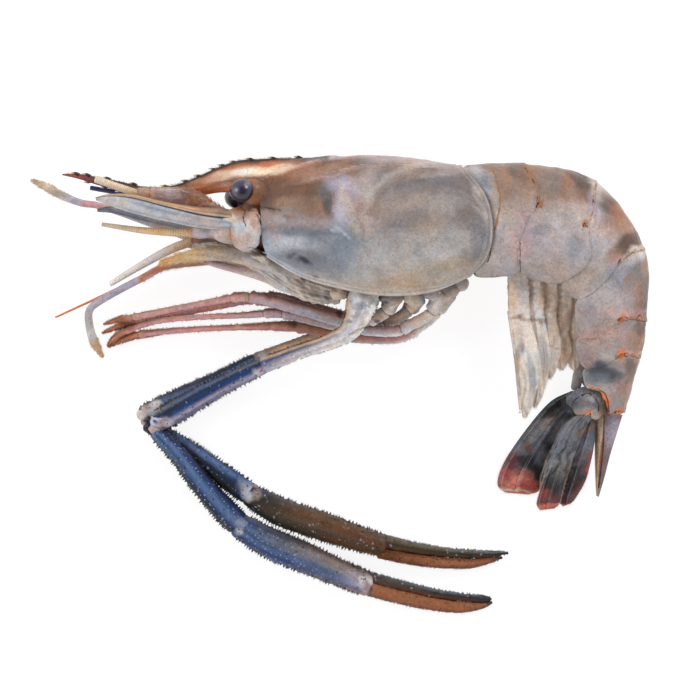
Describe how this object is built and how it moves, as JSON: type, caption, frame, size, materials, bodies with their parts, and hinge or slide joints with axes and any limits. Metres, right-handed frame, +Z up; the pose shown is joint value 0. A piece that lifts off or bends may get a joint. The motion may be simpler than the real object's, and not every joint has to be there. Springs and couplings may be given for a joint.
{
  "type": "raw giant river prawn",
  "caption": "Whole raw giant river prawn lying on its side, with a saw-edged rostrum, long slender claws folded back, bent tail and tail fan.",
  "frame": {"origin": "middle of the prawn's bounding box in plan, at the level of the surface that it lies on", "axes": "+X towards the tail bend (the head points to -X), +Y towards the animal's back, +Z up out of its left side"},
  "size_m": [0.1857, 0.1374, 0.0335],
  "materials": {
    "shell": "moist translucent shell, mottled grey, lilac and brown",
    "underside": "soft pale membrane",
    "eye": "glossy purple-black",
    "head": "pale lilac and cream, moist",
    "antenna": "ringed ochre",
    "claw": "satin deep blue with small spines",
    "finger": "velvety rust brown felt over dark shell",
    "claw_base": "satin lilac-white",
    "leg": "satin pink-mauve turning orange-brown",
    "first_leg": "satin purple-grey with hairy tips",
    "swimming_leg": "translucent cream and ochre, striped",
    "tail_fan": "moist slate and blue-black with a pale fringe"
  },
  "bodies": {
    "root": {"carapace": "shell", "thorax_underside": "underside", "head": "head", "abdomen_1": "shell", "abdomen_2": "shell", "abdomen_3": "shell", "abdomen_4": "shell", "abdomen_5": "shell", "abdomen_6": "shell", "telson": "tail_fan", "uropod_left_outer": "tail_fan", "uropod_left_inner": "tail_fan", "uropod_right_inner": "tail_fan", "uropod_right_outer": "tail_fan", "uropod_left_base": "shell", "uropod_right_base": "shell", "eye_left": "eye", "eye_right": "eye", "antennal_scale_left": "head", "antennal_scale_right": "head", "antennule_left": "head", "antennule_right": "head", "antenna_stem_left": "head", "antenna_stem_right": "head", "antenna_flagellum_left": "antenna", "antenna_flagellum_right": "antenna", "antennule_flagellum_left": "antenna", "antennule_flagellum_right": "antenna", "thin_flagellum_right": "antenna", "swimming_leg_left_1": "swimming_leg", "swimming_leg_left_2": "swimming_leg", "swimming_leg_left_3": "swimming_leg", "swimming_leg_left_4": "swimming_leg", "swimming_leg_left_5": "swimming_leg", "swimming_leg_right_1": "swimming_leg", "swimming_leg_right_2": "swimming_leg", "swimming_leg_right_3": "swimming_leg", "swimming_leg_right_4": "swimming_leg", "swimming_leg_right_5": "swimming_leg", "maxilliped_left": "first_leg", "maxilliped_right": "first_leg", "first_leg_left": "first_leg", "first_leg_right": "first_leg", "walking_leg_left_1": "leg", "walking_leg_left_2": "leg", "walking_leg_left_3": "leg", "walking_leg_right_1": "leg", "walking_leg_right_2": "leg", "walking_leg_right_3": "leg", "claw_left_base": "claw_base", "claw_left_merus": "claw", "claw_left_carpus": "claw", "claw_left_palm": "claw", "claw_left_dactyl": "finger", "claw_right_base": "claw_base", "claw_right_merus": "claw", "claw_right_carpus": "claw", "claw_right_palm": "claw", "claw_right_dactyl": "finger"}
  },
  "joints": []
}
